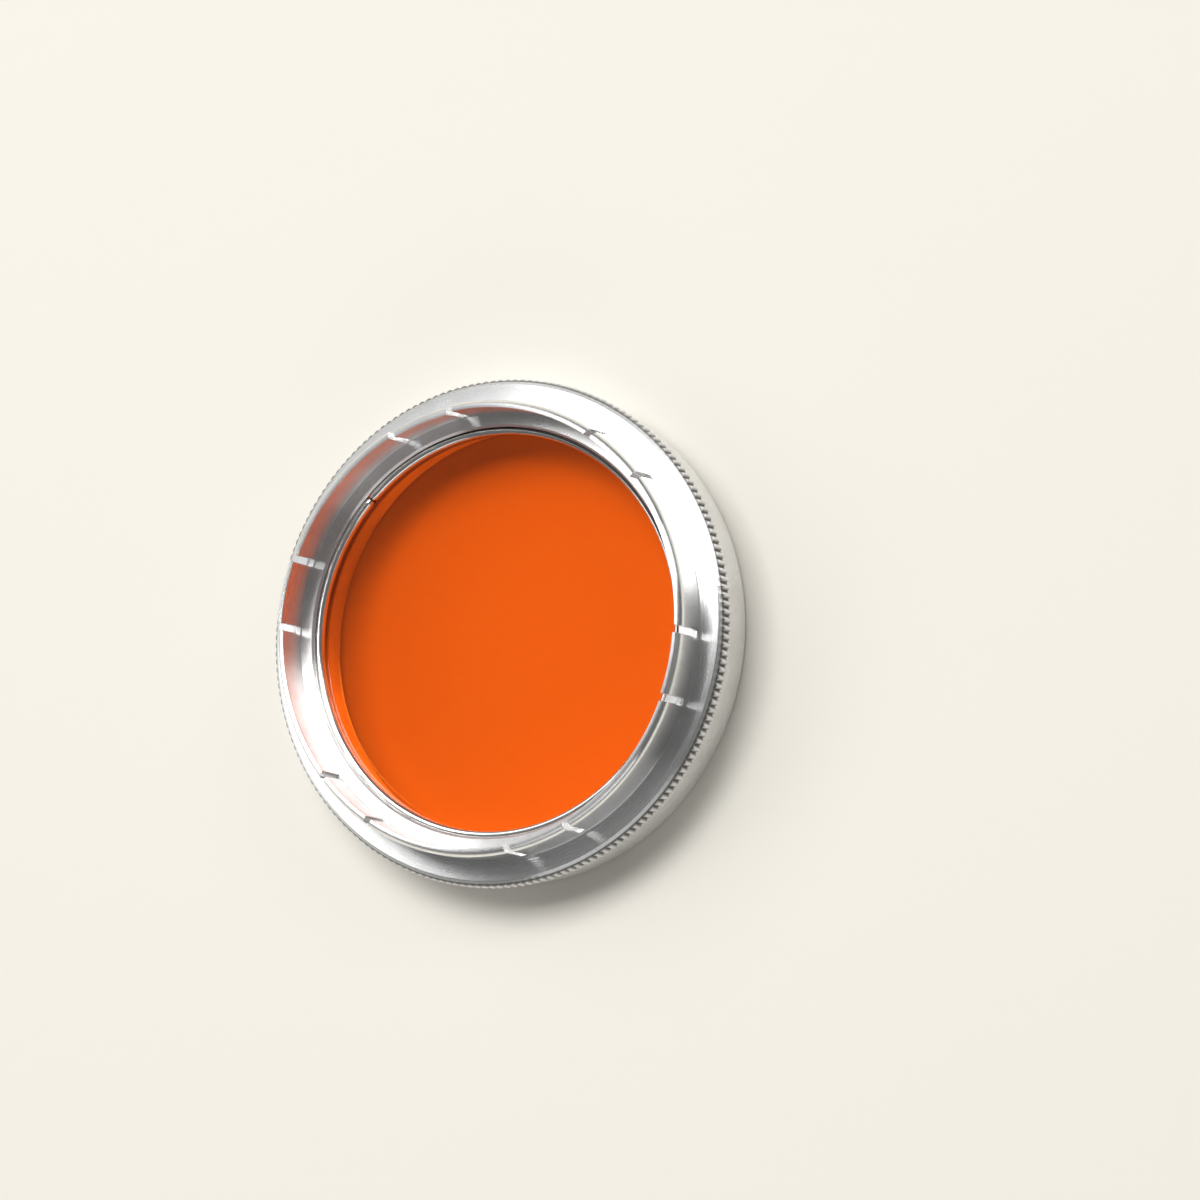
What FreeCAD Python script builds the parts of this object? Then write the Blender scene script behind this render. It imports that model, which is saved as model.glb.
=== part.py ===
# Colour filter in a push-on mount, for a lens barrel 32 mm across.
# A turned mount holds an orange glass disc on a ledge, and a split snap ring keeps it there.
# The origin is the middle of the front rim's face. +Z is the optical axis, towards the collar
# that grips the barrel. Sizes are in millimetres.

import FreeCAD, Part
import math
import os
import Sketcher

doc = FreeCAD.newDocument("colour_filter")

# Driving dimensions. Radii step outwards or inwards from the collar's bore, and heights step up
# from the front face, so one changed size carries along whatever seats on it.
DIMENSIONS = [
    ("collar_bore_radius", 16.0, "inside of the push-on collar, which grips the barrel"),
    ("collar_wall", 0.6, "thickness of the collar's spring tongues"),
    ("collar_depth", 2.6, "collar's tip above the inner floor"),
    ("lip_flat", 0.08, "flat left at the tip of a tongue"),
    ("lip_drop", 0.42, "height of the bevel outside the tip"),
    ("lip_crown", 0.05, "how far that bevel swells"),
    ("slit_pairs", 6, "pairs of saw slits round the collar"),
    ("slit_spacing", 5.0, "between the two slits of a pair"),
    ("slit_width", 0.5, "thickness of the saw that cut them"),
    ("slit_root", 0.1, "uncut root of the collar above the inner floor"),
    ("shoulder_width", 1.28, "flat shoulder outside the collar"),
    ("shoulder_drop", 0.33, "shoulder below the inner floor"),
    ("shoulder_bevel_width", 0.12, "bevel outside the shoulder, across"),
    ("shoulder_bevel_height", 0.34, "bevel outside the shoulder, along the axis"),
    ("knurl_step", 0.5, "crests of the knurl beyond that bevel"),
    ("knurl_width", 0.88, "knurl along the axis"),
    ("knurl_depth", 0.27, "depth of its teeth"),
    ("knurl_stock", 0.03, "stock turned above the crests before the teeth are cut"),
    ("knurl_teeth", 192, "teeth round the ring"),
    ("knurl_overhang", 0.55, "crests of the knurl beyond the plain band"),
    ("rim_taper_height", 0.55, "taper in front of the band, along the axis"),
    ("rim_taper_width", 0.15, "taper in front of the band, across"),
    ("rim_bevel", 0.1, "outer edge of the front face"),
    ("front_chamfer", 0.2, "inner edge of the front face"),
    ("front_flare", 0.6, "front opening wider than the ledge"),
    ("ledge_height", 3.0, "glass ledge above the front face"),
    ("ledge_width", 0.35, "ledge inside the glass seat"),
    ("floor_width", 1.05, "inner floor between the collar and the glass seat"),
    ("floor_chamfer", 0.15, "inner edge of that floor"),
    ("glass_thickness", 1.3, "glass disc"),
    ("glass_clearance", 0.05, "between the disc's edge and its seat"),
    ("glass_bevel", 0.12, "ground edges of the disc"),
    ("snap_ring_width", 0.6, "split snap ring over the glass, across"),
    ("snap_ring_height", 0.6, "split snap ring, along the axis"),
    ("snap_ring_bevel", 0.1, "broken edges of the snap ring"),
    ("snap_ring_clearance", 0.02, "round the snap ring, in its groove and over the glass"),
    ("snap_ring_hold", 0.1, "how far the snap ring reaches into its groove"),
    ("snap_ring_cover", 0.28, "wall of the seat above the snap ring"),
    ("snap_ring_gap", 0.4, "opening between the snap ring's ends"),
    ("snap_ring_azimuth", 87.7, "degrees from a pair of slits to that opening"),
]

sheet = doc.addObject("Spreadsheet::Sheet", "dims")
for row, (alias, number, note) in enumerate(DIMENSIONS, start=1):
    sheet.set("A%d" % row, alias)
    sheet.set("B%d" % row, str(number))
    sheet.set("C%d" % row, note)
    sheet.setAlias("B%d" % row, alias)
doc.recompute()


class Size:
    """A size as a number, with the expression on the sheet that gives it."""

    def __init__(self, number, text=None):
        self.number = float(number)
        self.text = text or repr(float(number))

    def join(self, sign, other, number):
        return Size(number, "(%s %s %s)" % (self.text, sign, other.text))

    def __add__(self, other):
        return self.join("+", other, self.number + other.number)

    def __sub__(self, other):
        return self.join("-", other, self.number - other.number)

    def __mul__(self, other):
        return self.join("*", other, self.number * other.number)

    def __truediv__(self, other):
        return self.join("/", other, self.number / other.number)


def dim(alias):
    """The size in one named cell of the sheet."""
    return Size(getattr(sheet, alias), "dims." + alias)


ZERO = Size(0, "0")
TWO = Size(2, "2")
HALF_TURN = Size(math.pi, "pi")

# Radii, from the collar's bore outwards and inwards.
bore = dim("collar_bore_radius")
collar = bore + dim("collar_wall")
shoulder_edge = collar + dim("shoulder_width")
knurl_foot = shoulder_edge + dim("shoulder_bevel_width")
knurl_crest = knurl_foot + dim("knurl_step")
knurl_stock = knurl_crest + dim("knurl_stock")
knurl_valley = knurl_crest - dim("knurl_depth")
band = knurl_crest - dim("knurl_overhang")
rim = band - dim("rim_taper_width")
seat = bore - dim("floor_width")
ledge = seat - dim("ledge_width")
opening = ledge + dim("front_flare")
glass_radius = seat - dim("glass_clearance")
snap_ring_outside = seat + dim("snap_ring_hold")
snap_ring_inside = snap_ring_outside - dim("snap_ring_width")
groove_radius = snap_ring_outside + dim("snap_ring_clearance")

# Heights, from the front face upwards.
ledge_height = dim("ledge_height")
glass_top = ledge_height + dim("glass_thickness")
snap_ring_base = glass_top + dim("snap_ring_clearance")
snap_ring_top = snap_ring_base + dim("snap_ring_height")
groove_top = snap_ring_top + dim("snap_ring_clearance")
floor = snap_ring_top + dim("snap_ring_cover")
tip = floor + dim("collar_depth")
shoulder = floor - dim("shoulder_drop")
knurl_top = shoulder - dim("shoulder_bevel_height")
knurl_base = knurl_top - dim("knurl_width")


def new_body(label):
    """An empty body, labelled with its part's name."""
    body = doc.addObject("PartDesign::Body", label)
    body.Label = label
    return body


def new_sketch(body, name, role, height=None):
    """A sketch on one of the body's origin planes, lifted to a height."""
    sketch = body.newObject("Sketcher::SketchObject", name)
    plane = [feature for feature in body.Origin.OriginFeatures if feature.Role == role][0]
    sketch.AttachmentSupport = [(plane, "")]
    sketch.MapMode = "FlatFace"
    if height:
        sketch.setExpression("AttachmentOffset.Base.z", height.text)
    return sketch


def bind(sketch, constraint, size):
    """Adds a dimension to a sketch and ties it to the sheet."""
    index = sketch.addConstraint(constraint)
    sketch.setExpression("Constraints[%d]" % index, size.text)


def place_point(sketch, edge, end, across, along):
    """Dimensions a point from the sketch's origin, or puts it on an axis."""
    for kind, axis, size in (("DistanceX", -2, across), ("DistanceY", -1, along)):
        if size is ZERO:
            sketch.addConstraint(Sketcher.Constraint("PointOnObject", edge, end, axis))
        elif size.number < 0:
            away = ZERO - size
            bind(sketch, Sketcher.Constraint(kind, edge, end, -1, 1, away.number), away)
        else:
            bind(sketch, Sketcher.Constraint(kind, -1, 1, edge, end, size.number), size)


def swollen_edge(start, end, radius):
    """The short arc from start to end that swells out of an anticlockwise outline."""
    chord = end - start
    inward = FreeCAD.Vector(-chord.y, chord.x, 0).normalize()
    depth = math.sqrt(radius ** 2 - (chord.Length / 2) ** 2)
    centre = (start + end) * 0.5 + inward * depth
    angles = [math.atan2(point.y - centre.y, point.x - centre.x) for point in (start, end)]
    circle = Part.Circle(centre, FreeCAD.Vector(0, 0, 1), radius)
    return Part.ArcOfCircle(circle, angles[0], angles[1])


def draw_outline(sketch, corners, swollen=None):
    """Draws a closed outline anticlockwise through its corners.

    swollen gives the radius of an edge that is an arc, by the number of the corner it starts at.
    """
    swollen = swollen or {}
    first = sketch.GeometryCount
    points = [FreeCAD.Vector(across.number, along.number, 0) for across, along in corners]
    for number, start in enumerate(points):
        end = points[(number + 1) % len(points)]
        if number in swollen:
            edge = swollen_edge(start, end, swollen[number].number)
        else:
            edge = Part.LineSegment(start, end)
        sketch.addGeometry(edge, False)
    for number, (across, along) in enumerate(corners):
        following = first + (number + 1) % len(corners)
        sketch.addConstraint(Sketcher.Constraint("Coincident", first + number, 2, following, 1))
        place_point(sketch, first + number, 1, across, along)
    for number, radius in swollen.items():
        bind(sketch, Sketcher.Constraint("Radius", first + number, radius.number), radius)


def turn(body, sketch, name, angle=None):
    """Turns a section round the sketch's upright axis."""
    turned = body.newObject("PartDesign::Revolution", name)
    turned.Profile = sketch
    turned.ReferenceAxis = (sketch, ["V_Axis"])
    turned.Angle = 360
    if angle:
        turned.setExpression("Angle", angle.text)
    doc.recompute()
    return turned


def round_edges(feature, places):
    """Names the feature's circular edges at the given radii and heights."""
    names = []
    for number, edge in enumerate(feature.Shape.Edges, start=1):
        if edge.Curve.TypeId != "Part::GeomCircle":
            continue
        for radius, height in places:
            off = abs(edge.Curve.Radius - radius.number) + abs(edge.Curve.Center.z - height.number)
            if off < 1e-4:
                names.append("Edge%d" % number)
    return names


def cut_around(body, sketch, name, copies):
    """Cuts a sketch upwards through the body and repeats the cut round the axis."""
    solid = body.Shape.Volume
    pocket = body.newObject("PartDesign::Pocket", name)
    pocket.Profile = sketch
    pocket.Type = "ThroughAll"
    pocket.Reversed = True
    doc.recompute()
    cut = solid - pocket.Shape.Volume
    pattern = body.newObject("PartDesign::PolarPattern", name + "_pattern")
    pattern.Originals = [pocket]
    pattern.Axis = (sketch, ["N_Axis"])
    pattern.Angle = 360
    pattern.setExpression("Occurrences", copies.text)
    body.Tip = pattern
    doc.recompute()
    whole = solid - pattern.Shape.Volume
    if cut <= 0 or abs(whole - cut * copies.number) > 0.01 * whole:
        raise RuntimeError("%s cuts %.4f once and %.4f in all" % (name, cut, whole))


# The mount is one turned piece: front rim, plain band, raised band for the grip, flat shoulder,
# spring collar with its bevelled lip, inner floor, glass seat with the snap ring's groove, glass
# ledge and slightly flared front opening.
mount = new_body("mount_ring")
section = new_sketch(mount, "mount_section", "XZ_Plane")
lip_width = dim("collar_wall") - dim("lip_flat")
lip_chord = lip_width * lip_width + dim("lip_drop") * dim("lip_drop")
lip_radius = lip_chord / (Size(8, "8") * dim("lip_crown")) + dim("lip_crown") / TWO
draw_outline(section, [
    (rim - dim("rim_bevel"), ZERO),
    (rim, dim("rim_bevel")),
    (band, dim("rim_taper_height")),
    (band, knurl_base),
    (knurl_stock, knurl_base),
    (knurl_stock, knurl_top),
    (knurl_foot, knurl_top),
    (shoulder_edge, shoulder),
    (collar, shoulder),
    (collar, tip - dim("lip_drop")),
    (bore + dim("lip_flat"), tip),
    (bore, tip),
    (bore, floor),
    (seat + dim("floor_chamfer"), floor),
    (seat, floor - dim("floor_chamfer")),
    (seat, groove_top),
    (groove_radius, groove_top),
    (groove_radius, glass_top),
    (seat, glass_top),
    (seat, ledge_height),
    (ledge, ledge_height),
    (opening, dim("front_chamfer")),
    (opening + dim("front_chamfer"), ZERO),
], {9: lip_radius})
turn(mount, section, "turned_ring")

# The grip has straight teeth: V grooves run along the raised band, open at both ends, and
# neighbours meet in a sharp crest just under the turned stock.
knurl_groove = new_sketch(mount, "knurl_groove", "XY_Plane", knurl_base)
half_pitch = knurl_crest * HALF_TURN / dim("knurl_teeth")
groove_reach = knurl_crest + dim("knurl_depth")
draw_outline(knurl_groove, [
    (knurl_valley, ZERO),
    (groove_reach, ZERO - half_pitch * TWO),
    (groove_reach, half_pitch * TWO),
])
cut_around(mount, knurl_groove, "knurl", dim("knurl_teeth"))

# Pairs of parallel saw slits part the collar into short and long spring tongues by turns.
slit_pair = new_sketch(mount, "slit_pair", "XY_Plane", floor + dim("slit_root"))
slit_near = (dim("slit_spacing") - dim("slit_width")) / TWO
slit_far = (dim("slit_spacing") + dim("slit_width")) / TWO
slit_reach = collar + dim("collar_wall")
draw_outline(slit_pair, [
    (seat, slit_near), (slit_reach, slit_near), (slit_reach, slit_far), (seat, slit_far),
])
draw_outline(slit_pair, [
    (seat, ZERO - slit_far), (slit_reach, ZERO - slit_far),
    (slit_reach, ZERO - slit_near), (seat, ZERO - slit_near),
])
cut_around(mount, slit_pair, "slits", dim("slit_pairs"))

# The glass is a plane disc with ground edges. It lies on the mount's ledge.
glass = new_body("filter_glass")
disc = new_sketch(glass, "glass_outline", "XY_Plane", ledge_height)
outline = Part.Circle(FreeCAD.Vector(0, 0, 0), FreeCAD.Vector(0, 0, 1), glass_radius.number)
disc.addGeometry(outline, False)
place_point(disc, 0, 3, ZERO, ZERO)
bind(disc, Sketcher.Constraint("Radius", 0, glass_radius.number), glass_radius)
pane = glass.newObject("PartDesign::Pad", "glass_pane")
pane.Profile = disc
pane.setExpression("Length", "dims.glass_thickness")
doc.recompute()
ground_edges = glass.newObject("PartDesign::Chamfer", "ground_edges")
ground_edges.Base = (pane, round_edges(pane, [(glass_radius, ledge_height), (glass_radius, glass_top)]))
ground_edges.setExpression("Size", "dims.glass_bevel")
doc.recompute()

# The snap ring is square wire with broken edges, bent to an open circle that springs into the
# mount's groove. The section is bent round the axis, and the piece is then turned to its opening.
ring = new_body("retaining_ring")
wire = new_sketch(ring, "wire_section", "XZ_Plane")
bevel = dim("snap_ring_bevel")
draw_outline(wire, [
    (snap_ring_inside + bevel, snap_ring_base),
    (snap_ring_outside - bevel, snap_ring_base),
    (snap_ring_outside, snap_ring_base + bevel),
    (snap_ring_outside, snap_ring_top - bevel),
    (snap_ring_outside - bevel, snap_ring_top),
    (snap_ring_inside + bevel, snap_ring_top),
    (snap_ring_inside, snap_ring_top - bevel),
    (snap_ring_inside, snap_ring_base + bevel),
])
FULL_TURN = Size(360, "360")
gap_angle = FULL_TURN * dim("snap_ring_gap") / (TWO * HALF_TURN * snap_ring_inside)
turn(ring, wire, "bent_wire", FULL_TURN - gap_angle)
gap_end = dim("snap_ring_azimuth") + gap_angle / TWO
ring.Placement = FreeCAD.Placement(
    FreeCAD.Vector(0, 0, 0), FreeCAD.Rotation(FreeCAD.Vector(0, 0, 1), gap_end.number))
ring.setExpression("Placement.Rotation.Angle", gap_end.text)
doc.recompute()

# Every object has to be sound before anything is written.
for item in doc.Objects:
    if "Invalid" in item.State or "Error" in item.State:
        raise RuntimeError("%s failed: %s" % (item.Name, item.State))
for body in (mount, glass, ring):
    if body.Shape.isNull() or not body.Shape.isValid() or len(body.Shape.Solids) != 1:
        raise RuntimeError("%s has no sound solid" % body.Label)

os.makedirs("parts", exist_ok=True)
for body in (mount, glass, ring):
    body.Shape.exportStep("parts/%s.step" % body.Label)
    box = body.Shape.BoundBox
    print("%s: %.3f mm3, x %.3f..%.3f, z %.3f..%.3f, %d faces" % (
        body.Label, body.Shape.Volume, box.XMin, box.XMax, box.ZMin, box.ZMax,
        len(body.Shape.Faces)))
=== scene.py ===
import math

import bmesh
import bpy
import numpy as np
from mathutils import Matrix, Vector


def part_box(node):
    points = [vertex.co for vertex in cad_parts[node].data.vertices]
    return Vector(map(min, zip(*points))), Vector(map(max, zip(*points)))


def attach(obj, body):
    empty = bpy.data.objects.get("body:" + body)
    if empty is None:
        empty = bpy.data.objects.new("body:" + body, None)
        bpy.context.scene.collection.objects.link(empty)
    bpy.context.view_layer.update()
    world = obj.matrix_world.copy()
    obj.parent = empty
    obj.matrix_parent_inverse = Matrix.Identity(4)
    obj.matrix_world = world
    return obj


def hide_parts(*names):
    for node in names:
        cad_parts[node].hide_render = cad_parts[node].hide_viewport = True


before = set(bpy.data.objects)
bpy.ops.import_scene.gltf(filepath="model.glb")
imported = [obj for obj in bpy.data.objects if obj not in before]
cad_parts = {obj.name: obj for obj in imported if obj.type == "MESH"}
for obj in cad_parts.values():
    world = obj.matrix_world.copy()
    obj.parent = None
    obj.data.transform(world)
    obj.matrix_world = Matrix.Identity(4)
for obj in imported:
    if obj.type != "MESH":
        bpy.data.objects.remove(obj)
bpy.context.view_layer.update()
scene = bpy.context.scene
scene.view_settings.view_transform = "Standard"

# The mount is one turned ring of aluminium, left bright. A knurled grip stands out round its
# middle, and the collar above it is sawn into tongues that spring on to the lens barrel. Three
# of the short tongues have been bent in use.
MM = 0.001
mount_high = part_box("mount_ring")[1]
knurl_crest, collar_tip = mount_high.x / MM, mount_high.z / MM
rim_inside, rim_outside, band_radius = 15.4, 17.8, 17.95
knurl_low, knurl_high, knurl_depth, crest_land = 3.65, 4.53, 0.22, 0.07
shoulder_edge = 18.06
collar_bore, collar_outside, collar_foot, floor_height = 16.0, 16.6, 4.87, 5.2
lip_height, lip_flat, lip_crown = 0.42, 0.26, 0.05
slit_root, slit_inner, slit_outer, broken_edge = 5.3, 2.25, 2.75, 0.03
seat_radius, groove_radius, groove_low, groove_high = 14.95, 15.07, 4.3, 4.94
ledge_radius, ledge_height, opening_waist, opening_mouth = 14.6, 2.97, 14.9, 15.2
pairs, teeth_per_pair, columns_per_tooth = 6, 32, 3
tongue_bends, bend_growth = np.array([0, -0.17, 0.20, 0, 0, -0.10]), 1.3


def rounded(corners, steps=3):
    """Rounds the corners of a closed outline given as rows of r, z and radius in mm.

    At each corner a tangent arc of that radius joins the two sides, which turn by the angle
    between them: it starts radius x tan(turn / 2) before the corner, and its normal turns evenly
    from one side's to the next one's. Returns the points, their normals and their corners.
    """
    corners = np.array(corners, float)
    place, radius = corners[:, :2], corners[:, 2]
    run = place - np.roll(place, 1, 0)
    heading = np.arctan2(run[:, 1], run[:, 0])
    turn = (np.roll(heading, -1) - heading + math.pi) % (2 * math.pi) - math.pi
    reach = radius * np.abs(np.tan(turn / 2))
    along = np.stack([np.cos(heading), np.sin(heading)], 1)
    left = np.stack([-along[:, 1], along[:, 0]], 1)
    centre = place - along * reach[:, None] + left * (radius * np.sign(turn))[:, None]
    share = np.linspace(0, 1, steps + 1)
    angle = heading[:, None] + turn[:, None] * share
    normal = np.stack([np.sin(angle), -np.cos(angle)], 2)
    points = centre[:, None] + normal * (radius * np.sign(turn))[:, None, None]
    kept = (radius[:, None] > 0) | (share == 0)
    owner = np.broadcast_to(np.arange(len(corners))[:, None], kept.shape)
    return points[kept], normal[kept], owner[kept]


def closed_surface(name, places, sharp_angle, wrap_columns=True):
    """Makes a mesh from a grid of places, columns x rows, whose rows close on themselves.

    Each cell of the grid is a quad. Places that coincide are welded, so that a column drawn
    together to a line or a point closes the surface. Edges over the sharp angle stay crisp.
    """
    columns, rows = places.shape[:2]
    index = np.arange(columns * rows).reshape(columns, rows)
    if wrap_columns:
        here, there = index, np.roll(index, -1, 0)
    else:
        here, there = index[:-1], index[1:]
    quads = np.stack([here, there, np.roll(there, -1, 1), np.roll(here, -1, 1)], 2)
    mesh = bpy.data.meshes.new(name)
    mesh.from_pydata(places.reshape(-1, 3) * MM, [], quads.reshape(-1, 4).tolist())
    weld = bmesh.new()
    weld.from_mesh(mesh)
    bmesh.ops.remove_doubles(weld, verts=weld.verts, dist=2e-8)
    weld.to_mesh(mesh)
    weld.free()
    mesh.shade_smooth()
    mesh.set_sharp_from_angle(angle=math.radians(sharp_angle))
    piece = bpy.data.objects.new(name, mesh)
    scene.collection.objects.link(piece)
    normals = piece.modifiers.new("flat faces stay flat", "WEIGHTED_NORMAL")
    normals.keep_sharp = True
    return piece


# The section runs anticlockwise: front face, band, knurl, shoulder, collar, floor, glass seat,
# opening. Rows are worked from the knurl's columns, from the tongues' or from those below them.
KNURL, BELOW, TONGUE = 0, 1, 2
lip_foot = np.array([collar_outside, collar_tip - lip_height])
lip_top = np.array([collar_bore + lip_flat, collar_tip])
lip_rise = lip_top - lip_foot
lip_out = np.array([lip_rise[1], -lip_rise[0]]) / np.linalg.norm(lip_rise)
rise = np.linspace(0, 1, 8)[1:-1, None]
lip = lip_foot + lip_rise * rise + lip_out * lip_crown * 4 * rise * (1 - rise)
bevel_slope = (collar_foot - knurl_high) / (knurl_crest - shoulder_edge)


def grip(deep):
    """Gives the section from the front face to the shoulder, the grip's crests cut by deep mm.

    The bevel that joins grip and shoulder is straight, so a cut crest meets it deep x its slope
    higher up.
    """
    return [(rim_inside, 0, 0.05, KNURL), (rim_outside - 0.1, 0, 0.07, KNURL),
            (rim_outside, 0.1, 0.07, KNURL), (band_radius, 0.55, 0.3, KNURL),
            (band_radius, 1.6, 0, KNURL), (band_radius, 2.6, 0, KNURL),
            (band_radius, knurl_low, 0.03, KNURL), (band_radius + 0.05, knurl_low, 0, KNURL),
            (knurl_crest - deep, knurl_low, 0.05, KNURL),
            (knurl_crest - deep, knurl_high + deep * bevel_slope, 0.06, KNURL),
            (shoulder_edge, collar_foot, 0.06, KNURL)]


section = [(collar_outside, collar_foot, 0.06, BELOW)]
section += [(collar_outside, z, 0, TONGUE) for z in np.linspace(slit_root, lip_foot[1], 7)[:-1]]
section += [(*lip_foot, 0.06, TONGUE)] + [(r, z, 0, TONGUE) for r, z in lip]
section += [(*lip_top, 0.05, TONGUE), (collar_bore, collar_tip, 0.045, TONGUE)]
section += [(collar_bore, z, 0, TONGUE) for z in np.linspace(collar_tip, slit_root, 8)[1:]]
section += [(collar_bore, floor_height, 0.06, BELOW),
            (seat_radius + 0.15, floor_height, 0.04, BELOW),
            (seat_radius, floor_height - 0.15, 0.03, BELOW),
            (seat_radius, groove_high, 0.01, BELOW), (groove_radius, groove_high, 0.01, BELOW),
            (groove_radius, groove_low, 0.01, BELOW), (seat_radius, groove_low, 0.01, BELOW),
            (seat_radius, ledge_height, 0.03, BELOW), (ledge_radius, ledge_height, 0.05, BELOW),
            (opening_waist, 1.6, 0, BELOW), (opening_mouth, 0.2, 0.05, BELOW)]
outline, outline_normal, corner = rounded([row[:3] for row in grip(0) + section])
cut_grip = rounded([row[:3] for row in grip(knurl_depth) + section])[0]
group = np.array([row[3] for row in grip(0) + section])[corner]
on_tongue = group == TONGUE


def slit_rows(outline):
    """Draws the tongue's outline down to the straight floor of a slit, row by row.

    A row at share s of the outline's length, from its outer root to its inner root, goes to the
    radius outside - wall x s at the height of the slit's root. Other rows stay where they are.
    """
    rows = outline.copy()
    path = outline[on_tongue]
    length = np.concatenate([[0], np.cumsum(np.linalg.norm(np.diff(path, axis=0), axis=1))])
    rows[on_tongue, 0] = collar_outside + (collar_bore - collar_outside) * length / length[-1]
    rows[on_tongue, 1] = slit_root
    return rows


# Twelve columns to a pair of slits carry the cuts: the tongue's face, its end with a broken
# edge, and the slit's floor, and the same again across the slit. The tongues lie between them,
# and the broken edge runs out over the lowest twelfth of a tongue.
edge_runout = 1 / 12
above_root = np.clip((outline[:, 1] - slit_root) / (collar_tip - slit_root), 0, 1) * on_tongue
end = outline - outline_normal * (broken_edge * np.minimum(1, above_root / edge_runout))[:, None]
floor_line = slit_rows(outline)
cut_outlines = np.stack([outline, end, floor_line, floor_line, end, outline] * 2 + [outline])
cut = np.array([slit_outer + broken_edge, slit_outer, slit_outer,
                slit_inner, slit_inner, slit_inner - broken_edge])
cut_across = np.concatenate([-cut, cut[::-1], [-cut[0]]])
spread = np.linspace(cut[0], cut[-1], 6)
spread_across = np.concatenate([-spread, spread[::-1], [-spread[0]]])
short_columns = 20
columns_per_pair = teeth_per_pair * columns_per_tooth
cut_columns = np.array([0, 1, 2, 3, 4, 5, *range(6 + short_columns, 12 + short_columns),
                        columns_per_pair])
column = np.arange(columns_per_pair)
share_of_cut = np.stack([np.interp(column, cut_columns, one)
                         for one in np.eye(len(cut_columns))], 1)
across = np.where(on_tongue, cut_across[:, None], spread_across[:, None])
cut_angle = np.arcsin(across / cut_outlines[:, :, 0])
cut_angle[-1] += 2 * math.pi / pairs

radius = np.tensordot(share_of_cut, cut_outlines[:, :, 0], 1)
height = np.tensordot(share_of_cut, cut_outlines[:, :, 1], 1)
angle = share_of_cut @ cut_angle

# The knurl: a valley, then the two sides of a narrow worn crest, for each tooth. The first pair
# of slits starts five teeth before the X axis.
teeth_before_axis = 5
tooth = column // columns_per_tooth - teeth_before_axis
step = np.array([0, 0.5, 0.5])[column % columns_per_tooth]
land = np.array([0, -0.5, 0.5])[column % columns_per_tooth] * crest_land / knurl_crest
pitch = 2 * math.pi / (pairs * teeth_per_pair)
knurl_angle = (tooth + step) * pitch + land
in_knurl = group == KNURL
angle[:, in_knurl] = knurl_angle[:, None]
valley = (column % columns_per_tooth == 0)[:, None] & in_knurl
radius = np.where(valley, cut_grip[:, 0], radius)
height = np.where(valley, cut_grip[:, 1], height)

# Six pairs of slits make the round; then the short tongues are bent from their roots. One takes
# the columns from its broken end at one slit of the pair to that at the other.
pair = np.arange(pairs)[:, None, None]
angle = angle + pair * 2 * math.pi / pairs
short_tongue = (column >= 4) & (column < 8 + short_columns)
bend = tongue_bends[:, None, None] * (short_tongue[:, None] * on_tongue)
lift = np.clip((height - slit_root) / (collar_tip - slit_root), 0, 1)
radius = radius + bend * lift ** bend_growth
places = np.stack([radius * np.cos(angle), radius * np.sin(angle),
                   np.broadcast_to(height, radius.shape)], 3)
mount = closed_surface("bright_mount", places.reshape(-1, len(outline), 3), 35)
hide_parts("mount_ring")
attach(mount, "root")


class Signal:
    """One socket of a material's nodes. Sums and products of signals add their Math nodes."""

    def __init__(self, tree, socket=None):
        self.tree, self.socket = tree, socket

    def node(self, kind, sockets=None, output=0, **settings):
        """Adds a node: its settings first, then each socket's value or link."""
        node = self.tree.nodes.new(kind)
        for name, value in settings.items():
            setattr(node, name, value)
        for name, value in (sockets or {}).items():
            if isinstance(value, Signal):
                self.tree.links.new(value.socket, node.inputs[name])
            else:
                node.inputs[name].default_value = value
        return Signal(self.tree, node.outputs[output] if node.outputs else None)

    def math(self, operation, *values):
        """Adds a Math node that does one operation on numbers or signals."""
        return self.node("ShaderNodeMath", dict(enumerate(values)), operation=operation)

    def __add__(self, other):
        return self.math("ADD", self, other)

    def __sub__(self, other):
        return self.math("SUBTRACT", self, other)

    def __rsub__(self, other):
        return self.math("SUBTRACT", other, self)

    def __mul__(self, other):
        return self.math("MULTIPLY", self, other)

    __radd__, __rmul__ = __add__, __mul__

    def ramp(self, low, high):
        """Goes smoothly from 0 to 1 as the signal goes from low to high."""
        return self.node("ShaderNodeMapRange", {"Value": self, "From Min": low, "From Max": high},
                         interpolation_type="SMOOTHSTEP")

    def blend(self, one, other):
        """Mixes two colours or signals of colour, one at 0 and the other at 1."""
        return self.node("ShaderNodeMix", {0: self, 6: one, 7: other}, output=2,
                         data_type="RGBA")


def new_finish(name):
    """Starts an empty material, and gives it with the signal that its nodes grow from."""
    material = bpy.data.materials.new(name)
    material.use_nodes = True
    material.node_tree.nodes.clear()
    return material, Signal(material.node_tree)


def turned_place(start):
    """Gives place in mm, radius from the axis in mm and height in mm, from Object coordinates."""
    place = start.node("ShaderNodeTexCoord", output=3)
    place = start.node("ShaderNodeVectorMath", {0: place, "Scale": 1 / MM}, operation="SCALE")
    flat = start.node("ShaderNodeVectorMath", {0: place, 1: (1, 1, 0)}, operation="MULTIPLY")
    radius = start.node("ShaderNodeVectorMath", {0: flat}, output=1, operation="LENGTH")
    height = start.node("ShaderNodeSeparateXYZ", {0: place}, output=2)
    return place, radius, height


def noise(start, scale, detail=2, roughness=0.5, place=None, along=None):
    """Noise of the given number of features to the mm, in space or along one signal."""
    sockets = {"Scale": scale, "Detail": detail, "Roughness": roughness}
    if along is not None:
        return start.node("ShaderNodeTexNoise", {"W": along, **sockets}, noise_dimensions="1D")
    return start.node("ShaderNodeTexNoise", {"Vector": place, **sockets})


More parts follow.
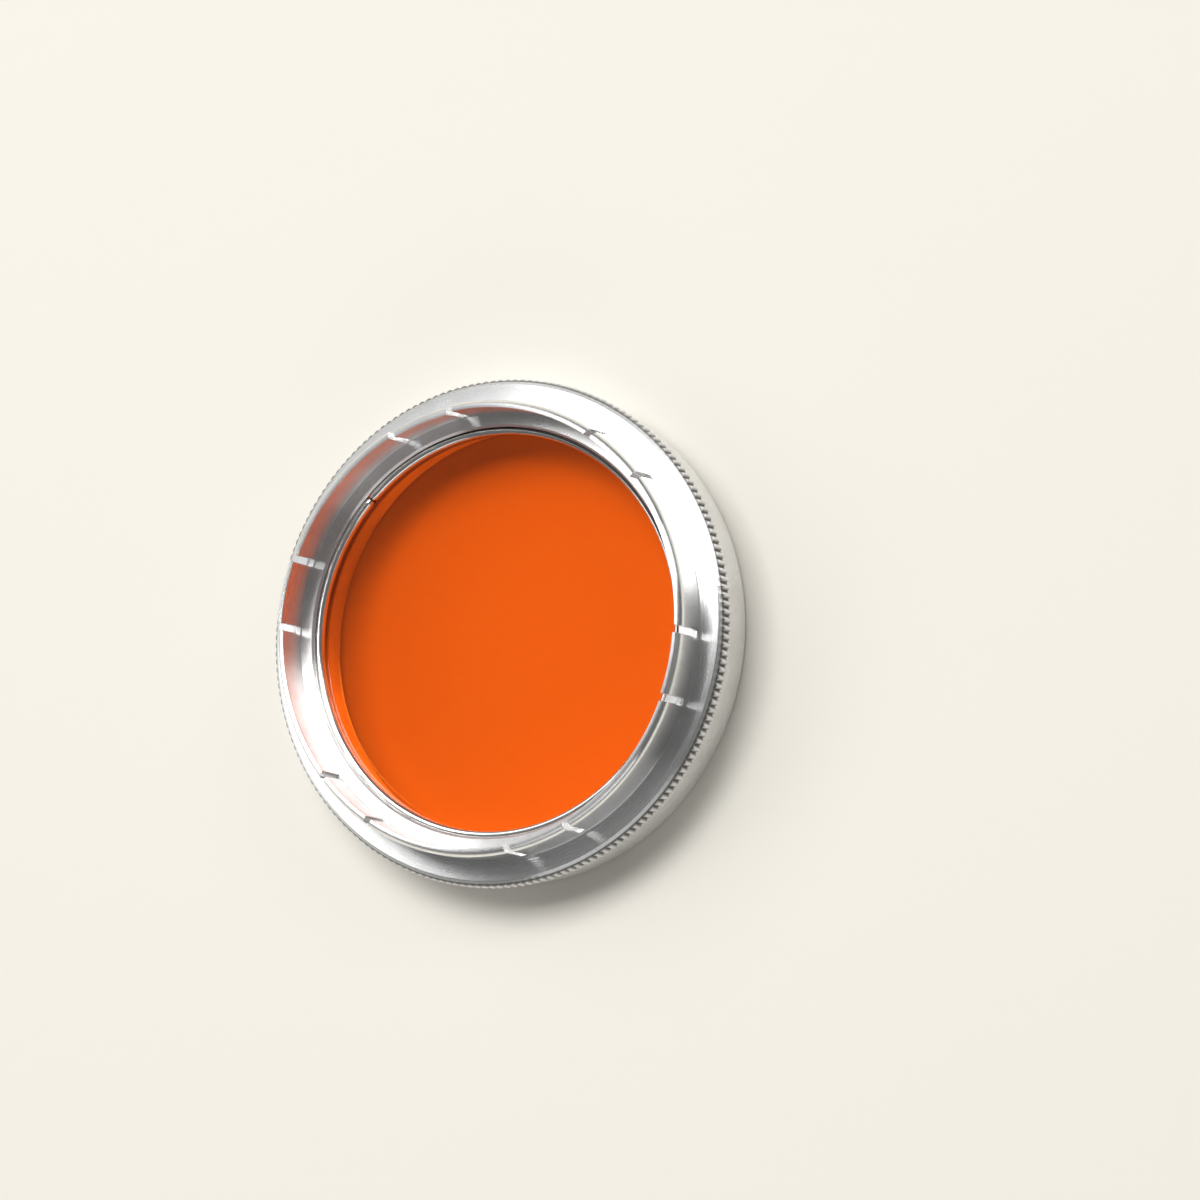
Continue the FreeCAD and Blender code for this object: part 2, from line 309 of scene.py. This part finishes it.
# Bare aluminium straight from the lathe: fine concentric tool marks on every turned face, small
# knocks from handling, a slightly duller skin in patches, and grime with painted shade between the
# teeth in the knurl's valleys. The collar's outer wall is rubbed smooth by use, and the opening in
# front of the glass is left matt.
aluminium, start = new_finish("turned aluminium")
place, radius_mm, height_mm = turned_place(start)
across_marks = radius_mm - 0.7 * height_mm
marks = noise(start, 9, 3, 0.65, along=across_marks)
coarse = noise(start, 1.7, 2, along=across_marks)
patches = noise(start, 0.45, 3, 0.6, place=place)
specks = noise(start, 5.5, 2, 0.7, place=place).ramp(0.69, 0.76)
# Painted shade: the knurl's valleys are darkened, partly as grime and partly to stand in for the
# shade between the teeth.
valley_grime_and_shade = radius_mm.ramp(knurl_crest - 0.30, knurl_crest - 0.24)
valley_grime_and_shade = valley_grime_and_shade * (1 - radius_mm.ramp(knurl_crest - 0.18, knurl_crest - 0.01))
valley_grime_and_shade = valley_grime_and_shade * height_mm.ramp(knurl_low - 0.05, knurl_low + 0.05)
valley_grime_and_shade = valley_grime_and_shade * (1 - height_mm.ramp(knurl_high + 0.13, knurl_high + 0.21))
inside = 1 - height_mm.ramp(ledge_height + 0.08, ledge_height + 0.18)
inside = inside * (1 - radius_mm.ramp(rim_inside, rim_inside + 0.1))
wall = radius_mm.ramp(collar_outside - 0.3, collar_outside - 0.15)
wall = wall * height_mm.ramp(collar_foot + 0.08, collar_foot + 0.23)
bored = 1 - radius_mm.ramp(collar_bore, collar_bore + 0.08)
bored = bored * height_mm.ramp(floor_height, floor_height + 0.15)
skin = (patches + marks * 0.35).ramp(0.5, 0.95)
colour = skin.blend((0.93, 0.93, 0.925, 1), (0.83, 0.83, 0.825, 1))
colour = specks.blend(colour, (0.42, 0.41, 0.40, 1))
colour = valley_grime_and_shade.blend(colour, (0.19, 0.185, 0.18, 1))
roughness = 0.215 + patches * 0.06 + marks * 0.08 + specks * 0.2 + valley_grime_and_shade * 0.1
roughness = roughness + inside * 0.35 - wall * 0.13 + bored * 0.03
relief = marks * 0.6 + coarse * 0.4 - specks * 0.3
normal = start.node("ShaderNodeBump", {"Height": relief, "Strength": 0.10, "Distance": 0.00002})
metal = start.node("ShaderNodeBsdfPrincipled", {
    "Base Color": colour, "Metallic": 1.0, "Roughness": roughness, "Normal": normal,
    "Anisotropic": 1.0, "Anisotropic Rotation": 0.25})
start.node("ShaderNodeOutputMaterial", {"Surface": metal})
mount.data.materials.append(aluminium)

# The glass is a plane disc of solid orange glass with ground edges. It rests on the mount's
# ledge, and its colour deepens with each face that light passes. Shadow and scattered rays go
# straight through both faces, which are tinted alike, so that the floor under it is lit.
glass_tint = Vector((1.0, 0.36, 0.05))
tint = (*glass_tint, 1)
through_face = (*(math.sqrt(part) for part in glass_tint), 1)
orange, start = new_finish("orange glass")
body = start.node("ShaderNodeBsdfPrincipled", {
    "Base Color": tint, "Roughness": 0.0, "IOR": 1.52, "Transmission Weight": 1.0})
open_way = start.node("ShaderNodeBsdfTransparent", {"Color": through_face})
shadow = start.node("ShaderNodeLightPath", output=1)
scattered = Signal(start.tree, shadow.socket.node.outputs["Is Diffuse Ray"])
glass = start.node("ShaderNodeMixShader", {0: start.math("MAXIMUM", shadow, scattered),
                                           1: body, 2: open_way})
start.node("ShaderNodeOutputMaterial", {"Surface": glass})
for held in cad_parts["filter_glass"].material_slots:
    held.material = orange

# The snap ring is a split ring of square steel wire with a rounded top, sprung into the mount's
# groove over the glass. Its ends are cut square, with their edges broken, and stand a little apart.
ring_inside, ring_low, ring_wire, ring_opening, opening_at = 14.45, 4.32, 0.6, 0.2, 87.7
ring_section = [(0, 0, 0.08), (ring_wire, 0, 0.08), (ring_wire, ring_wire, 0.22),
                (0, ring_wire, 0.28)]
end_taper, end_size = 0.25, 0.78


def open_ring(name):
    """Carries the wire's square section round an arc and draws it together at both ends.

    The arc goes from the opening round to the opening again. Its last columns shrink towards the
    section's middle: to the end's size over the end's taper, and then to a point at the cut.
    """
    wire = rounded([(ring_inside + r, ring_low + z, edge) for r, z, edge in ring_section], 6)[0]
    middle = wire.mean(0)
    half = ring_opening / 2 / (ring_inside + ring_wire / 2)
    edge = end_taper / ring_inside
    turns = np.linspace(half, 2 * math.pi - half, 361)
    turns = np.concatenate([[turns[0]] * 2, [turns[0] + edge], turns[1:-1],
                            [turns[-1] - edge], [turns[-1]] * 2])
    size = np.ones(len(turns))
    size[[0, -1]], size[[1, -2]] = 0, end_size
    points = middle + (wire - middle) * size[:, None, None]
    azimuth = (turns + math.radians(opening_at))[:, None]
    places = np.stack([points[:, :, 0] * np.cos(azimuth), points[:, :, 0] * np.sin(azimuth),
                       points[:, :, 1]], 2)
    return closed_surface(name, places, 25, wrap_columns=False)


snap_ring = open_ring("steel_snap_ring")
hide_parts("retaining_ring")
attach(snap_ring, "root")

# Bright drawn steel, stained here and there. Along one side the ring is darkened almost to black
# near its outer edge, in a crescent whose edge is a circle a little off the ring's middle.
crescent_shift, ring_outside = (0.28, -0.03, 0), ring_inside + ring_wire
steel, start = new_finish("bright steel")
place, radius_mm, height_mm = turned_place(start)
drawn = noise(start, 14, 2, along=radius_mm + height_mm)
stain = noise(start, 0.8, 3, 0.6, place=place).ramp(0.45, 0.75)
off_centre = start.node("ShaderNodeVectorMath", {0: place, 1: crescent_shift}, operation="ADD")
off_centre = start.node("ShaderNodeVectorMath", {0: off_centre, 1: (1, 1, 0)},
                        operation="MULTIPLY")
from_centre = start.node("ShaderNodeVectorMath", {0: off_centre}, output=1, operation="LENGTH")
# Darkens the ring almost to black in a crescent near its outer edge, along one side.
dark_crescent = from_centre.ramp(ring_outside - 0.17, ring_outside - 0.05)
colour = stain.blend((0.90, 0.90, 0.885, 1), (0.72, 0.72, 0.70, 1))
colour = dark_crescent.blend(colour, (0.03, 0.028, 0.027, 1))
normal = start.node("ShaderNodeBump", {"Height": drawn, "Strength": 0.2, "Distance": 0.00001})
metal = start.node("ShaderNodeBsdfPrincipled", {
    "Base Color": colour, "Metallic": 1.0, "Roughness": 0.14 + stain * 0.12 + dark_crescent * 0.3,
    "Normal": normal, "Anisotropic": 0.5, "Anisotropic Rotation": 0.25})
start.node("ShaderNodeOutputMaterial", {"Surface": metal})
snap_ring.data.materials.append(steel)

# A plain pale floor under the filter.
floor_reach = 6
corners = np.array([(-1, -1, 0), (1, -1, 0), (1, 1, 0), (-1, 1, 0)]) * floor_reach
mesh = bpy.data.meshes.new("floor")
mesh.from_pydata(corners.tolist(), [], [(0, 1, 2, 3)])
ground = bpy.data.objects.new("floor", mesh)
scene.collection.objects.link(ground)
paper, start = new_finish("pale floor")
matt = start.node("ShaderNodeBsdfPrincipled", {
    "Base Color": (0.905, 0.871, 0.791, 1), "Roughness": 0.9, "Specular IOR Level": 0.1})
start.node("ShaderNodeOutputMaterial", {"Surface": matt})
mesh.materials.append(paper)

# Soft studio light: a bright key box high over one side, a broad one lower on the far side, two
# small ones low at the left and the right, a weak fill that faces the key, and a dim room.
target, lamp_distance = Vector((0, 0, 4.6)) * MM, 1.2


def softbox(name, azimuth, elevation, width, depth, level):
    """Hangs an area lamp at an azimuth and elevation in degrees, facing the filter.

    Its power is pi x its area x the level, so that its face shines at that level.
    """
    azimuth, elevation = math.radians(azimuth), math.radians(elevation)
    lamp = bpy.data.lights.new(name, "AREA")
    lamp.shape, lamp.size, lamp.size_y = "RECTANGLE", width, depth
    lamp.energy = math.pi * width * depth * level
    away = Vector((math.cos(azimuth) * math.cos(elevation),
                   math.sin(azimuth) * math.cos(elevation), math.sin(elevation)))
    holder = bpy.data.objects.new(name, lamp)
    holder.location = target + away * lamp_distance
    holder.rotation_euler = away.to_track_quat("Z", "Y").to_euler()
    scene.collection.objects.link(holder)


softbox("key", 53, 67, 0.9, 0.55, 7.3)
softbox("far", 97, 40, 1.3, 0.55, 1.5)
softbox("side", 138, 30, 0.3, 0.4, 2.0)
softbox("low", -14, 36, 0.4, 0.4, 2.0)
softbox("fill", 233, 28, 1.2, 0.35, 1.2)
room = bpy.data.worlds.new("room")
scene.world = room
room.use_nodes = True
room.node_tree.nodes["Background"].inputs["Color"].default_value = (0.13, 0.13, 0.13, 1)

# The camera looks along the line of sight at which the filter was seen.
camera_data = bpy.data.cameras.new("camera")
camera_data.lens, camera_data.sensor_width = 360, 36
camera = bpy.data.objects.new("camera", camera_data)
right = Vector((0.59975, -0.64994, -0.46676))
up = Vector((0.77057, 0.62631, 0.11802))
back = Vector((0.21563, -0.43046, 0.87647))
turned = Matrix((right, up, back)).transposed().to_4x4()
camera.matrix_world = Matrix.Translation(Vector((0.19328, -0.37671, 0.76170))) @ turned
scene.collection.objects.link(camera)
scene.camera = camera
